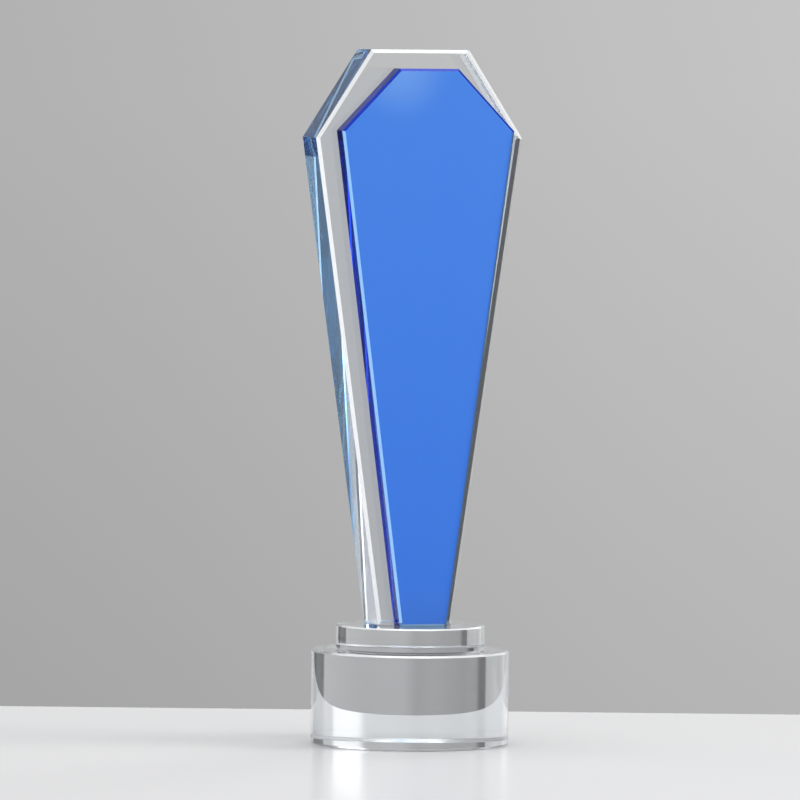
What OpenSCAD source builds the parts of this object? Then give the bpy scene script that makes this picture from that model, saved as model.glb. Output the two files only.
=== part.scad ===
// Column trophy: a tall clear crystal slab with a blue crystal plate laminated to its front,
// standing on a small round crystal step that stands on a larger round crystal base.
// Every joint in the stack is a thin film of cured clear adhesive.
// Millimetres, +Z up, the plate faces -Y, and the origin is the centre of the base's underside.

/* [Base] */
// Diameter of the round base
base_d = 80; // [60:1:110]
// Height of the round base
base_h = 38; // [20:1:60]
// Width of the polished bevel round the base's rims
base_bevel = 0.8; // [0.5:0.1:3]

/* [Step] */
// Diameter of the round step on the base
step_d = 60; // [46:1:78]
// Height of the round step
step_h = 10; // [6:0.5:16]
// Width of the polished bevel round the step's rims
step_bevel = 0.6; // [0.4:0.1:2]

/* [Clear column] */
// Height of the whole trophy
total_h = 280; // [240:1:340]
// Width of the column's flat top
column_top_w = 41.5; // [30:0.5:60]
// Width of the column at its shoulders
column_shoulder_w = 87.5; // [70:0.5:110]
// Width of the column's foot
column_foot_w = 31; // [24:0.5:44]
// Height of the column's shoulders above the table
column_shoulder_z = 244.5; // [200:0.5:260]
// Thickness of the clear slab
column_t = 20; // [12:0.5:26]
// Width of the polished bevel along the slab's edges
column_bevel = 1.3; // [0.5:0.1:2]

/* [Blue plate] */
// Width of the plate's flat top
plate_top_w = 25; // [16:0.5:36]
// Width of the plate at its shoulders
plate_shoulder_w = 73; // [56:0.5:82]
// Width of the plate's foot
plate_foot_w = 20; // [14:0.5:26]
// Height of the plate's shoulders above the table
plate_shoulder_z = 247.5; // [200:0.5:256]
// Clear margin between the plate's top and the slab's top
plate_top_margin = 7.5; // [4:0.5:16]
// Thickness of the plate
plate_t = 8; // [5:0.5:12]
// How far the plate sits to the right of the slab's centre line
plate_aside = 1; // [0:0.5:2]
// Width of the polished bevel round the plate's front
plate_bevel = 1; // [0.4:0.1:2]

/* [Adhesive] */
// Thickness of each cured adhesive film
film_t = 0.1; // [0.05:0.05:0.2]

/* [Hidden] */
$fn = 180;

// How far a cutting solid reaches past the glass that it cuts.
spare = 2;

// The stack, from the table upwards.
step_z = base_h + film_t;
foot_z = step_z + step_h + film_t;

// The slab, its bond and the plate are centred on the step from back to front.
stack_t = column_t + film_t + plate_t;
column_back_y = stack_t / 2;
bond_back_y = column_back_y - column_t;
plate_back_y = bond_back_y - film_t;

// Each outline is a coffin shape, widest at its shoulders: half widths across, heights up.
column_outline = coffin(column_foot_w, column_shoulder_w, column_top_w,
                        foot_z, column_shoulder_z, total_h);
plate_outline = coffin(plate_foot_w, plate_shoulder_w, plate_top_w,
                       foot_z, plate_shoulder_z, total_h - plate_top_margin);

function coffin(foot_w, shoulder_w, top_w, foot, shoulder, top) = [
    [-foot_w / 2, foot], [foot_w / 2, foot],
    [shoulder_w / 2, shoulder],
    [top_w / 2, top], [-top_w / 2, top],
    [-shoulder_w / 2, shoulder]
];

// A round disc standing at height z, with a straight polished bevel at both rims.
module bevelled_disc(d, h, bevel, z) {
    r = d / 2;
    translate([0, 0, z])
        rotate_extrude()
            polygon([
                [0, 0], [r - bevel, 0], [r, bevel],
                [r, h - bevel], [r - bevel, h], [0, h]
            ]);
}

// A slab of the outline's shape. Its back is at y = back and its thickness runs towards -Y.
module slab(outline, t, back) {
    translate([0, back, 0])
        rotate([90, 0, 0])
            linear_extrude(t)
                polygon(outline);
}

// A wedge that bevels one edge of a slab's face, from corner a to corner b. The face is at
// height face in the outline's own lying frame, and side is 1 for the front and -1 for the back.
module edge_wedge(a, b, face, side, bevel) {
    run = b - a;
    translate([a.x, a.y, face])
        rotate([0, 0, atan2(run.y, run.x)])
            translate([-spare, 0, 0])
                rotate([90, 0, 90])
                    linear_extrude(norm(run) + 2 * spare)
                        polygon([
                            [bevel + spare, side * spare],
                            [-spare, side * spare],
                            [-spare, -side * (bevel + spare)]
                        ]);
}

// Bevels for every edge of one face of a slab.
module face_wedges(outline, back, face, side, bevel) {
    translate([0, back, 0])
        rotate([90, 0, 0])
            for (i = [0 : len(outline) - 1])
                edge_wedge(outline[i], outline[(i + 1) % len(outline)], face, side, bevel);
}

module base_disc() {
    color("gainsboro", 0.4)
        bevelled_disc(base_d, base_h, base_bevel, 0);
}

module base_bond() {
    color("white", 0.3)
        translate([0, 0, base_h])
            cylinder(h = film_t, d = step_d - 2 * step_bevel);
}

module step_disc() {
    color("gainsboro", 0.4)
        bevelled_disc(step_d, step_h, step_bevel, step_z);
}

// One film under both feet: the slab's and the plate's, inside their bevels.
module column_bond() {
    column_foot_t = column_t - 2 * column_bevel;
    plate_foot_t = plate_t - plate_bevel;
    color("white", 0.3)
        translate([0, 0, foot_z - film_t])
            linear_extrude(film_t)
                union() {
                    translate([-column_foot_w / 2, bond_back_y + column_bevel])
                        square([column_foot_w, column_foot_t]);
                    translate([plate_aside - plate_foot_w / 2, plate_back_y - plate_foot_t])
                        square([plate_foot_w, plate_foot_t + film_t + column_bevel]);
                }
}

module clear_column() {
    color("gainsboro", 0.4)
        difference() {
            slab(column_outline, column_t, column_back_y);
            face_wedges(column_outline, column_back_y, column_t, 1, column_bevel);
            face_wedges(column_outline, column_back_y, 0, -1, column_bevel);
        }
}

module plate_bond() {
    color("white", 0.3)
        translate([plate_aside, 0, 0])
            slab(plate_outline, film_t, bond_back_y);
}

module blue_plate() {
    color("royalblue", 0.8)
        translate([plate_aside, 0, 0])
            difference() {
                slab(plate_outline, plate_t, plate_back_y);
                face_wedges(plate_outline, plate_back_y, plate_t, 1, plate_bevel);
            }
}

base_disc();
base_bond();
step_disc();
column_bond();
clear_column();
plate_bond();
blue_plate();
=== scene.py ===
import math

import bmesh
import bpy
from mathutils import Matrix, Vector


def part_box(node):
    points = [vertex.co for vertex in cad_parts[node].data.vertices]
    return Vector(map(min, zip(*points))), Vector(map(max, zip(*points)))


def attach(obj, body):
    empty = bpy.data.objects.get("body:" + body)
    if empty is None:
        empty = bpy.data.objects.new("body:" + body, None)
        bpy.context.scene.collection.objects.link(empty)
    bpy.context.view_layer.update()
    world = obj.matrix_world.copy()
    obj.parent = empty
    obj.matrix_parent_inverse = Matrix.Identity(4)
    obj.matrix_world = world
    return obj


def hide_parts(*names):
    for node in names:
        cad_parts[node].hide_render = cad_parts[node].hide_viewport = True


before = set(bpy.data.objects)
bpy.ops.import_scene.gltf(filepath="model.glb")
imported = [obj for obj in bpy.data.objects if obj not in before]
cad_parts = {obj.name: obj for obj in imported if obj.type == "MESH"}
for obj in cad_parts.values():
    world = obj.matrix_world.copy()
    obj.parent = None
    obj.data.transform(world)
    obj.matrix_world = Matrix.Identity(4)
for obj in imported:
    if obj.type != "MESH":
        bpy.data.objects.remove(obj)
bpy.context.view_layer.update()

# Base disc: the heavy foot, sawn from a bar of clear crown glass, turned, and polished all over.
# Both rims carry a straight polished bevel. The step is glued to the middle of its top face.
MM = 0.001
DISC_SEGMENTS = 320
FLAT = 0.99  # least share of a flat face's normal that points up or down
SHARP = math.radians(20)  # edges of the glass that turn by more than this stay crisp
HALF_WAY = (0.6, 0.8)  # share of a bevel's normal that points across the flat face beside it
SAME = 1e-7  # metres between points that count as one place
GLASS_IOR = 1.5168

# Marks on the faces: glued to the next piece, scattering light as ground glass does, and bevels that
# carry a painted highlight.
BONDED = "bonded"
GROUND = "ground"
PAINTED_HIGHLIGHT_BEVELS = "bevelled"


def linear(hex_colour):
    """An sRGB hex colour as the linear values that a shader takes."""
    parts = [int(hex_colour[i:i + 2], 16) / 255 for i in (0, 2, 4)]
    return [p / 12.92 if p <= 0.04045 else ((p + 0.055) / 1.055) ** 2.4 for p in parts] + [1.0]


def add_node(tree, kind, inputs=None, stops=(), **settings):
    """Adds one shader node, with its settings, grey stops, input values and input links."""
    made = tree.nodes.new(kind)
    if stops:
        elements = made.color_ramp.elements
        elements.remove(elements[-1])
        elements[0].position = stops[0][0]
    for i, (place, value) in enumerate(stops):
        element = elements.new(place) if i else elements[0]
        element.color = (value, value, value, 1)
    for name, value in settings.items():
        setattr(made, name, value)
    for name, value in (inputs or {}).items():
        if isinstance(value, bpy.types.NodeSocket):
            tree.links.new(value, made.inputs[name])
        else:
            made.inputs[name].default_value = value
    return made


def new_material(name):
    material = bpy.data.materials.new(name)
    material.use_nodes = True
    material.node_tree.nodes.clear()
    return material


def glass_ior(tree):
    """The glass's index, which is 1 on bonded faces: glue of the same index hides them."""
    bonded = add_node(tree, "ShaderNodeAttribute", attribute_name=BONDED)
    return add_node(tree, "ShaderNodeMath", {0: bonded.outputs["Fac"], 1: 1 - GLASS_IOR, 2: GLASS_IOR},
                    operation="MULTIPLY_ADD").outputs[0]


def clear_crystal_material():
    """Polished crown glass: clear and sharp through the faces, soft white along the bevels, and
    a slate-blue tint that gathers where light runs a long way inside."""
    haze_grain = 18 * MM
    haze_roughness = 0.012
    bevel_roughness = 0.22
    face_scatter = 0.015
    bevel_scatter = 0.3
    tint_per_metre = 2.3
    material = new_material("polished clear crown glass")
    tree = material.node_tree
    place = add_node(tree, "ShaderNodeTexCoord").outputs["Object"]
    haze = add_node(tree, "ShaderNodeTexNoise", {"Vector": place, "Scale": 1 / haze_grain, "Detail": 4.0})
    rough = add_node(tree, "ShaderNodeMapRange", {
        "Value": haze.outputs["Fac"], "From Min": 0.55, "From Max": 0.8,
        "To Min": 0.0, "To Max": haze_roughness})
    ground = add_node(tree, "ShaderNodeAttribute", attribute_name=GROUND).outputs["Fac"]
    rough = add_node(tree, "ShaderNodeMath", {0: ground, 1: bevel_roughness, 2: rough.outputs[0]},
                     operation="MULTIPLY_ADD")
    clear = add_node(tree, "ShaderNodeMath", {
        0: ground, 1: face_scatter - bevel_scatter, 2: 1 - face_scatter}, operation="MULTIPLY_ADD")
    shader = add_node(tree, "ShaderNodeBsdfPrincipled", {
        "Base Color": linear("fdfefe"), "Roughness": rough.outputs[0], "IOR": glass_ior(tree),
        "Transmission Weight": clear.outputs[0]})
    depth = add_node(tree, "ShaderNodeVolumeAbsorption", {
        "Color": linear("18688a"), "Density": tint_per_metre})
    add_node(tree, "ShaderNodeOutputMaterial", {"Surface": shader.outputs[0], "Volume": depth.outputs[0]})
    return material


def make_piece(name, bm, material, node):
    """A finished mesh as a piece that stands for its CAD node."""
    bmesh.ops.recalc_face_normals(bm, faces=bm.faces)
    mesh = bpy.data.meshes.new(name)
    bm.to_mesh(mesh)
    bm.free()
    piece = bpy.data.objects.new(name, mesh)
    bpy.context.scene.collection.objects.link(piece)
    mesh.materials.append(material)
    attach(piece, "root")
    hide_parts(node)
    return piece


def turned_disc(radius, low, high, bevel):
    """A disc with a straight bevel at both rims, and smooth round sides."""
    bm = bmesh.new()
    bm.faces.layers.float.new(BONDED)
    bm.faces.layers.float.new(GROUND)
    bmesh.ops.create_cone(bm, cap_ends=True, segments=DISC_SEGMENTS, radius1=radius, radius2=radius,
                          depth=high - low, matrix=Matrix.Translation((0, 0, (low + high) / 2)))
    rims = [e for e in bm.edges if abs(e.verts[0].co.z - e.verts[1].co.z) < SAME]
    if bevel:
        bmesh.ops.bevel(bm, geom=rims, offset=bevel, segments=1, profile=0.5, affect="EDGES", material=-1)
    bm.normal_update()
    for face in bm.faces:
        face.smooth = abs(face.normal.z) < FLAT
    for edge in bm.edges:
        edge.smooth = edge.calc_face_angle() < SHARP
    return bm


def cap(bm, top):
    """The flat face or faces at the top or bottom."""
    bm.normal_update()
    z = (max if top else min)(v.co.z for v in bm.verts)
    return [f for f in bm.faces if all(abs(v.co.z - z) < SAME for v in f.verts)]


def mark(bm, name, faces):
    """Sets one of the glass's face marks to 1 on the faces."""
    for face in faces:
        face[bm.faces.layers.float[name]] = 1.0


def bevels(bm, axis):
    """The faces that slant half way between the flat faces across the axis and their edges."""
    bm.normal_update()
    return [f for f in bm.faces if HALF_WAY[0] < abs(f.normal[axis]) < HALF_WAY[1]]


clear_crystal = clear_crystal_material()
base_low, base_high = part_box("base_disc")
bond_low, bond_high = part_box("base_bond")
base_bevel = 0.8 * MM
bm = turned_disc(base_high.x, base_low.z, base_high.z, base_bevel)
inset = base_high.x - base_bevel - bond_high.x
bmesh.ops.inset_region(bm, faces=cap(bm, True), thickness=inset, use_even_offset=True)
mark(bm, BONDED, [f for f in cap(bm, True) if len(f.verts) == DISC_SEGMENTS])
mark(bm, GROUND, bevels(bm, 2))
make_piece("base_disc_glass", bm, clear_crystal, "base_disc")

# Base bond: the film of clear adhesive that holds the step on the base, pressed out to the
# step's bevel and cured with ultraviolet light. It is matched to the glass, so it hardly shows.
CLEARANCE = 0.01 * MM  # keeps each film's faces off the glass's


def adhesive_material():
    """Cured clear adhesive: invisible between the glass faces, a fine wet line at its edge."""
    ripple_length = 4 * MM
    ripple_roughness = 0.01
    material = new_material("cured clear adhesive")
    tree = material.node_tree
    place = add_node(tree, "ShaderNodeTexCoord").outputs["Object"]
    ripple = add_node(tree, "ShaderNodeTexNoise", {"Vector": place, "Scale": 1 / ripple_length})
    rough = add_node(tree, "ShaderNodeMapRange", {
        "Value": ripple.outputs["Fac"], "From Min": 0.3, "From Max": 0.8,
        "To Min": 0.0, "To Max": ripple_roughness})
    shader = add_node(tree, "ShaderNodeBsdfPrincipled", {
        "Base Color": linear("ffffff"), "Roughness": rough.outputs[0], "IOR": glass_ior(tree),
        "Transmission Weight": 1.0})
    add_node(tree, "ShaderNodeOutputMaterial", {"Surface": shader.outputs[0]})
    return material


adhesive = adhesive_material()
bm = turned_disc(bond_high.x, bond_low.z + CLEARANCE, bond_high.z - CLEARANCE, 0)
mark(bm, BONDED, cap(bm, True) + cap(bm, False))
make_piece("base_bond_film", bm, adhesive, "base_bond")

# Step disc: a thinner disc of the same clear crown glass, turned and polished, with a fine
# straight bevel at both rims. The slab and the plate are glued to its top face.
step_low, step_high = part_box("step_disc")
column_low, column_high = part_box("clear_column")
plate_low, plate_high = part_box("blue_plate")
step_bevel = 0.6 * MM
column_bevel = 1.3 * MM
plate_bevel = 1.0 * MM
CAD_SAME = 1e-6  # the same for points that come from the CAD nodes


def coffin_outline(node):
    """The corners (x, z) of a CAD slab's outline, from the left of its foot and anticlockwise."""
    low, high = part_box(node)
    middle = (low.x + high.x) / 2
    points = [v.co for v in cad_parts[node].data.vertices]
    foot = max(p.x for p in points if p.z < low.z + CAD_SAME)
    top = max(p.x for p in points if p.z > high.z - CAD_SAME)
    shoulder_z = max(p.z for p in points if p.x > high.x - CAD_SAME)
    right = [(foot, low.z), (high.x, shoulder_z), (top, high.z)]
    return [(2 * middle - foot, low.z)] + right + [(2 * middle - x, z) for x, z in right[:0:-1]]


def cut_faces(bm, faces, lines):
    """Cuts the faces along each straight line, given as a point on it and its normal."""
    for point, normal in lines:
        geom = set(faces)
        for face in faces:
            geom.update(face.edges)
            geom.update(face.verts)
        cut = bmesh.ops.bisect_plane(bm, geom=list(geom), dist=SAME, plane_co=point, plane_no=normal)
        faces = [f for f in cut["geom"] if isinstance(f, bmesh.types.BMFace)]
    return faces


def foot_lines(outline, back, front):
    """The four lines round a slab's foot, between its back and its front."""
    return [((outline[1][0], 0, 0), (1, 0, 0)), ((outline[0][0], 0, 0), (-1, 0, 0)),
            ((0, back, 0), (0, 1, 0)), ((0, front, 0), (0, -1, 0))]


def inside(point, lines):
    return all((point - Vector(p)).dot(Vector(n)) < 0 for p, n in lines)


column_outline = coffin_outline("clear_column")
plate_outline = coffin_outline("blue_plate")
back = column_high.y - column_bevel
middle = column_low.y + column_bevel
front = plate_low.y + plate_bevel
foot_patches = [foot_lines(column_outline, back, middle), foot_lines(plate_outline, middle, front)]

bm = turned_disc(step_high.x, step_low.z, step_high.z, step_bevel)
faces = cap(bm, True)
for lines in foot_patches:
    faces = cut_faces(bm, faces, lines)
mark(bm, BONDED, [f for f in faces if any(inside(f.calc_center_median(), p) for p in foot_patches)])
mark(bm, BONDED, cap(bm, False))
mark(bm, GROUND, bevels(bm, 2))
make_piece("step_disc_glass", bm, clear_crystal, "step_disc")

# Column bond: one film of the same adhesive under the slab's foot and the plate's foot, wiped
# back to their bevels before it was cured.
film_low, film_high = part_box("column_bond")
bm = bmesh.new()
bm.faces.layers.float.new(BONDED)
bm.faces.layers.float.new(GROUND)
(left, _), (right, _) = column_outline[:2]
(plate_left, _), (plate_right, _) = plate_outline[:2]
ring = [(left, back), (left, middle), (plate_left, middle), (plate_left, front),
        (plate_right, front), (plate_right, middle), (right, middle), (right, back)]
bottom = bm.faces.new([bm.verts.new((x, y, film_low.z + CLEARANCE)) for x, y in ring])
bmesh.ops.solidify(bm, geom=[bottom], thickness=-(film_high.z - film_low.z - 2 * CLEARANCE))
mark(bm, BONDED, cap(bm, True) + cap(bm, False))
make_piece("column_bond_film", bm, adhesive, "column_bond")

# Clear column: the tall slab of clear crown glass, sawn to its outline, ground flat and polished.
# A bevel runs along every edge of its front and back. The blue plate is laminated to its front.


def cut_slab(outline, back, front, front_bevel, back_bevel):
    """A slab with the outline, between the planes y = back and y = front, with bevelled edges."""
    bm = bmesh.new()
    bm.faces.layers.float.new(BONDED)
    bm.faces.layers.float.new(GROUND)
    bm.faces.layers.float.new(PAINTED_HIGHLIGHT_BEVELS)
    face = bm.faces.new([bm.verts.new((x, back, z)) for x, z in outline])
    made = bmesh.ops.extrude_face_region(bm, geom=[face], use_keep_orig=True)
    moved = [v for v in made["geom"] if isinstance(v, bmesh.types.BMVert)]
    bmesh.ops.translate(bm, vec=(0, front - back, 0), verts=moved)
    bmesh.ops.recalc_face_normals(bm, faces=bm.faces)
    for plane, bevel in ((front, front_bevel), (back, back_bevel)):
        rim = [e for e in bm.edges if all(abs(v.co.y - plane) < SAME for v in e.verts)]
        if bevel:
            bmesh.ops.bevel(bm, geom=rim, offset=bevel, segments=1, profile=0.5,
                            affect="EDGES", material=-1)
    return bm


def at_plane(bm, axis, value):
    return [f for f in bm.faces if all(abs(v.co[axis] - value) < CAD_SAME for v in f.verts)]


bm = cut_slab(column_outline, column_high.y, column_low.y, column_bevel, column_bevel)
plate_lines = []
for i, (x, z) in enumerate(plate_outline):
    next_x, next_z = plate_outline[(i + 1) % len(plate_outline)]
    plate_lines.append(((x, 0, z), Vector((next_z - z, 0, x - next_x)).normalized()))
faces = cut_faces(bm, at_plane(bm, 1, column_low.y), plate_lines)
mark(bm, BONDED, [f for f in faces if inside(f.calc_center_median(), plate_lines)])
mark(bm, BONDED, at_plane(bm, 2, column_low.z))
mark(bm, GROUND, bevels(bm, 1))
make_piece("clear_column_glass", bm, clear_crystal, "clear_column")

# Plate bond: the film of adhesive between the slab and the plate, as wide as the plate, squeezed
# free of bubbles before it was cured.
film_back = column_low.y - CLEARANCE
film_front = plate_high.y + CLEARANCE
bm = cut_slab(plate_outline, film_back, film_front, 0, 0)
mark(bm, BONDED, at_plane(bm, 1, film_back) + at_plane(bm, 1, film_front))
make_piece("plate_bond_film", bm, adhesive, "plate_bond")

# Blue plate: a thinner plate of cobalt blue crystal glass, coloured through, sawn and polished,
# bevelled round its front, and laminated to the slab's front a little to the right.
SIDEWAYS = 0.6  # least share of a bevel's normal that points to the side or down
# The upper left corner of the plate's front, where its painted glow is centred.
painted_glow_place = (plate_outline[4][0], plate_low.y, plate_outline[4][1])


def blue_crystal_material():
    """Cobalt blue glass: an almost milky blue on its front, painted lighter towards its top, with a
    painted glow at the upper left, light blue painted highlights on the bevels at its sides and foot,
    and navy painted on its edges as painted shade."""
    # How far the painted glow on the front reaches.
    painted_glow_radius = 26 * MM
    front_scatter = 0.72
    edge_scatter = 0.02
    tint_per_metre = 34.0
    material = new_material("cobalt blue crystal glass")
    tree = material.node_tree
    bonded = add_node(tree, "ShaderNodeAttribute", attribute_name=BONDED).outputs["Fac"]
    faced = add_node(tree, "ShaderNodeAttribute", attribute_name=GROUND).outputs["Fac"]
    bevelled = add_node(tree, "ShaderNodeAttribute", attribute_name=PAINTED_HIGHLIGHT_BEVELS).outputs["Fac"]
    within = add_node(tree, "ShaderNodeNewGeometry").outputs["Backfacing"]
    place = add_node(tree, "ShaderNodeTexCoord").outputs["Object"]

    # Edges are painted navy from outside: painted shade for the dark of light's long paths inside the
    # blue glass. They tint nothing from within or where they are glued.
    passed = add_node(tree, "ShaderNodeMath", {0: bonded, 1: within}, operation="MAXIMUM").outputs[0]
    edge = add_node(tree, "ShaderNodeMix", {
        0: passed, 6: linear("020c90"), 7: linear("ffffff")}, data_type="RGBA").outputs[2]
    # Bevels at the sides and foot are painted light blue: a painted highlight.
    rim = add_node(tree, "ShaderNodeMix", {
        0: bevelled, 6: edge, 7: linear("74aefa")}, data_type="RGBA").outputs[2]

    # The front is painted lighter towards its top, and a painted glow lightens its upper left corner.
    height = add_node(tree, "ShaderNodeSeparateXYZ", {0: place}).outputs["Z"]
    painted_light_rise = add_node(tree, "ShaderNodeMapRange", {
        "Value": height, "From Min": plate_low.z, "From Max": plate_high.z},
        interpolation_type="SMOOTHSTEP").outputs[0]
    body = add_node(tree, "ShaderNodeMix", {
        0: painted_light_rise, 6: linear("1a70ec"), 7: linear("2a7cf2")}, data_type="RGBA").outputs[2]
    far = add_node(tree, "ShaderNodeVectorMath", {0: place, 1: painted_glow_place}, operation="DISTANCE")
    painted_glow = add_node(tree, "ShaderNodeMapRange", {
        "Value": far.outputs["Value"], "From Min": 0.0, "From Max": painted_glow_radius,
        "To Min": 1.0, "To Max": 0.0}, interpolation_type="SMOOTHERSTEP").outputs[0]
    body = add_node(tree, "ShaderNodeMix", {
        0: painted_glow, 6: body, 7: linear("5a9af8")}, data_type="RGBA").outputs[2]
    # The base colour: painted navy shade on the edges, painted light blue highlight on the side and foot
    # bevels, and the painted lighter top and glow on the front.
    skin = add_node(tree, "ShaderNodeMix", {0: faced, 6: rim, 7: body}, data_type="RGBA")

    # Reflections are blue on the edges and white on the front.
    sheen = add_node(tree, "ShaderNodeMix", {
        0: faced, 6: linear("4a62d8"), 7: linear("ffffff")}, data_type="RGBA")
    milky = add_node(tree, "ShaderNodeMath", {0: faced, 1: within}, operation="SUBTRACT", use_clamp=True)
    clear = add_node(tree, "ShaderNodeMath", {
        0: milky.outputs[0], 1: edge_scatter - front_scatter, 2: 1 - edge_scatter},
        operation="MULTIPLY_ADD")
    shader = add_node(tree, "ShaderNodeBsdfPrincipled", {
        "Base Color": skin.outputs[2], "Specular Tint": sheen.outputs[2], "Roughness": 0.0,
        "IOR": glass_ior(tree), "Transmission Weight": clear.outputs[0]})
    depth = add_node(tree, "ShaderNodeVolumeAbsorption", {
        "Color": linear("59cefa"), "Density": tint_per_metre})
    add_node(tree, "ShaderNodeOutputMaterial", {"Surface": shader.outputs[0], "Volume": depth.outputs[0]})
    return material


blue_crystal = blue_crystal_material()
bm = cut_slab(plate_outline, plate_high.y, plate_low.y, plate_bevel, 0)
mark(bm, BONDED, at_plane(bm, 1, plate_high.y) + at_plane(bm, 2, plate_low.z))
mark(bm, GROUND, at_plane(bm, 1, plate_low.y))
# The bevels at the plate's sides and foot carry the light blue painted highlight.
mark(bm, PAINTED_HIGHLIGHT_BEVELS, [f for f in bevels(bm, 1) if abs(f.normal.x) > SIDEWAYS or f.normal.z < -SIDEWAYS])
make_piece("blue_plate_glass", bm, blue_crystal, "blue_plate")

# Studio table: a white lacquered board that the trophy stands on, turned to face the camera.
# Its lacquer is satin, so it carries a soft reflection of the glass.
HEADING = math.radians(18.57)
TABLE_BEHIND = 0.174
TABLE_LENGTH = 0.95
TABLE_WIDTH = 1.6
TABLE_THICKNESS = 0.03
TABLE_GAP = 0.2 * MM
heading_turn = Matrix.Rotation(-HEADING, 4, "Z")
table_middle = (0, TABLE_BEHIND - TABLE_LENGTH / 2, -TABLE_THICKNESS / 2 - TABLE_GAP)
table_size = Matrix.Diagonal((TABLE_WIDTH, TABLE_LENGTH, TABLE_THICKNESS, 1))
bm = bmesh.new()
bmesh.ops.create_cube(bm, size=1, matrix=heading_turn @ Matrix.Translation(table_middle) @ table_size)
mesh = bpy.data.meshes.new("table")
bm.to_mesh(mesh)
bm.free()
table = bpy.data.objects.new("table", mesh)
bpy.context.scene.collection.objects.link(table)
material = new_material("white lacquered table")
tree = material.node_tree
shader = add_node(tree, "ShaderNodeBsdfPrincipled", {
    "Base Color": linear("c4c4c5"), "Roughness": 0.22, "IOR": 1.12})
add_node(tree, "ShaderNodeOutputMaterial", {"Surface": shader.outputs[0]})
mesh.materials.append(material)

# Studio light: a grey room that is lighter to the right, with a large lamp overhead, a bright strip
# and a window at the right, dark panels between, and a white board low behind the table. The clear
# glass shows all of them, and they give its facets their light and dark.
SIDE_GAIN = 5.0
LAMP_GAIN = 10.0
RAMP, VALUE, COLOUR = "ShaderNodeValToRGB", "ShaderNodeMath", "ShaderNodeVectorMath"
world = bpy.data.worlds.new("studio")
world.use_nodes = True
tree = world.node_tree
tree.nodes.clear()
direction = add_node(tree, "ShaderNodeTexCoord").outputs["Generated"]
turned = add_node(tree, "ShaderNodeMapping", {"Vector": direction, "Rotation": (0, 0, HEADING)})
axes = add_node(tree, "ShaderNodeSeparateXYZ", {0: turned.outputs[0]})
bearing = add_node(tree, VALUE, {0: axes.outputs["X"], 1: axes.outputs["Y"]}, operation="ARCTAN2")
across = add_node(tree, VALUE, {0: bearing.outputs[0], 1: 1 / math.tau, 2: 0.5},
                  operation="MULTIPLY_ADD").outputs[0]
climb = add_node(tree, VALUE, {0: axes.outputs["Z"]}, operation="ARCSINE")
upward = add_node(tree, VALUE, {0: climb.outputs[0], 1: 1 / math.pi, 2: 0.5},
                  operation="MULTIPLY_ADD").outputs[0]


def across_stops(*pairs):
    """Degrees from the far wall's middle, to the right, as places along a ramp."""
    return [((degrees + 180) / 360, value) for degrees, value in pairs]


def upward_stops(*pairs):
    """Degrees above the horizon as places along a ramp."""
    return [((degrees + 90) / 180, value) for degrees, value in pairs]


room = add_node(tree, RAMP, {"Fac": across}, across_stops(
    (-180, .03), (-166, .03), (-160, .2), (-100, .16), (-68, .14), (-66, .18), (-62, .18),
    (-60, .13), (-52, .13), (-50, .14), (-45, .12), (-39, .1), (-38, .012), (-34, .015),
    (-31, .06), (-10, .09), (-2.5, .088), (2.5, .112), (20, .106), (50, .115), (51, .02),
    (72, .02), (74, .16), (92, .16), (100, .2), (120, .2), (160, .2), (166, .03),
    (180, .03))).outputs[0]
shade = add_node(tree, RAMP, {"Fac": upward}, upward_stops(
    (-90, .7), (-8, .72), (-5, .82), (-.5, 1.0), (90, 1.0))).outputs[0]
lamp = add_node(tree, RAMP, {"Fac": upward}, upward_stops(
    (-90, 0), (68, 0), (72, .6), (90, .6))).outputs[0]
strip_across = add_node(tree, RAMP, {"Fac": across}, across_stops(
    (-180, 0), (19, 0), (22, 1), (38, 1), (41, 0), (180, 0))).outputs[0]
strip_upward = add_node(tree, RAMP, {"Fac": upward}, upward_stops(
    (-90, 0), (-2.5, 0), (-1, .12), (5, .12), (7, .4), (50, .4), (55, 0), (90, 0))).outputs[0]
board_across = add_node(tree, RAMP, {"Fac": across}, across_stops(
    (-180, 0), (-46, 0), (-40, 1), (40, 1), (46, 0), (180, 0))).outputs[0]
board_upward = add_node(tree, RAMP, {"Fac": upward}, upward_stops(
    (-90, .12), (-14, .12), (-10, 0), (90, 0))).outputs[0]
window_across = add_node(tree, RAMP, {"Fac": across}, across_stops(
    (-180, 0), (79, 0), (80, 1), (110, 1), (112, 0), (180, 0))).outputs[0]
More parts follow.
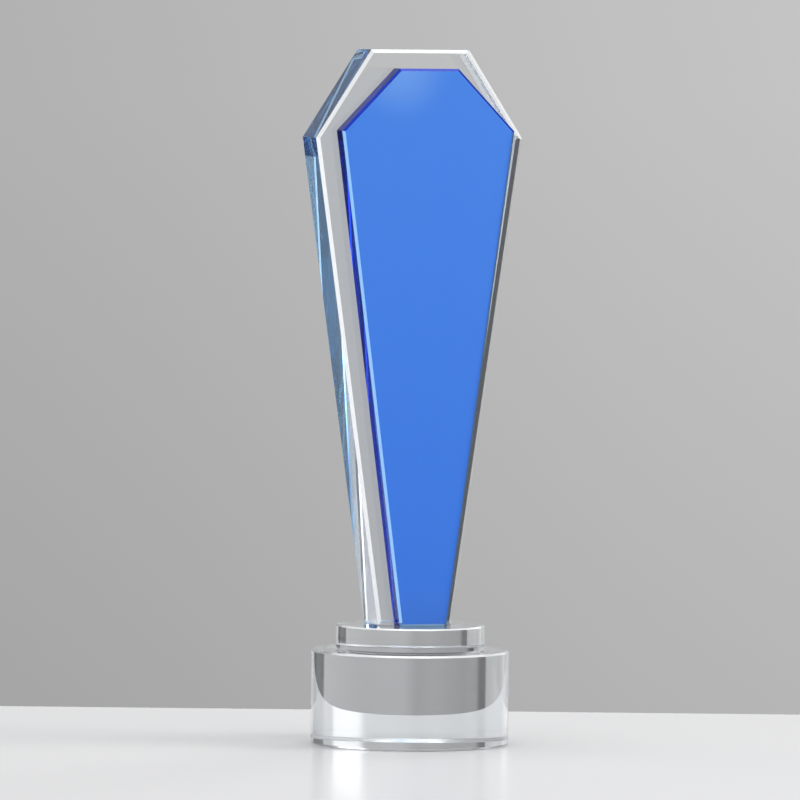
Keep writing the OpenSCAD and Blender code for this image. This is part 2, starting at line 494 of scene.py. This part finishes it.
window_upward = add_node(tree, RAMP, {"Fac": upward}, upward_stops(
    (-90, 0), (7.2, 0), (7.6, .9), (50, .9), (55, 0), (90, 0))).outputs[0]
walls = add_node(tree, COLOUR, {0: room, 1: shade}, operation="MULTIPLY")
strip = add_node(tree, COLOUR, {0: strip_across, 1: strip_upward, 2: walls.outputs[0]},
                 operation="MULTIPLY_ADD")
board = add_node(tree, COLOUR, {0: board_across, 1: board_upward}, operation="MULTIPLY")
window = add_node(tree, COLOUR, {0: window_across, 1: window_upward, 2: board.outputs[0]},
                  operation="MULTIPLY_ADD")
panels = add_node(tree, COLOUR, {0: strip.outputs[0], 1: window.outputs[0]}, operation="ADD")
sides = add_node(tree, COLOUR, {0: panels.outputs[0], "Scale": SIDE_GAIN}, operation="SCALE")
above = add_node(tree, COLOUR, {0: lamp, "Scale": LAMP_GAIN}, operation="SCALE")
total = add_node(tree, COLOUR, {0: sides.outputs[0], 1: above.outputs[0]}, operation="ADD")
background = add_node(tree, "ShaderNodeBackground", {"Color": total.outputs[0], "Strength": 1.0})
add_node(tree, "ShaderNodeOutputWorld", {"Surface": background.outputs[0]})
scene = bpy.context.scene
scene.world = world
scene.view_settings.view_transform = "Standard"

# Light that is caught between the slab's faces turns many times before it comes out.
scene.cycles.max_bounces = 96
scene.cycles.glossy_bounces = 96
scene.cycles.transmission_bounces = 96
scene.cycles.transparent_max_bounces = 96
scene.cycles.diffuse_bounces = 3

# Camera: a long lens a little higher than the trophy's top, to the left of the plate's front,
# tilted slightly down.
DISTANCE, HEIGHT, ASIDE = 3.801, 0.3073, -0.00523
DOWN_TILT = 0.04432
ROLL = 0.01073
lens = bpy.data.cameras.new("camera")
lens.sensor_width = 36
lens.lens = 424.5
lens.clip_end = 50
camera = bpy.data.objects.new("camera", lens)
scene.collection.objects.link(camera)
camera.matrix_world = (
    heading_turn @ Matrix.Translation((ASIDE, -DISTANCE, HEIGHT))
    @ Matrix.Rotation(math.pi / 2 - DOWN_TILT, 4, "X")
    @ Matrix.Rotation(ROLL, 4, "Z")
)
scene.camera = camera
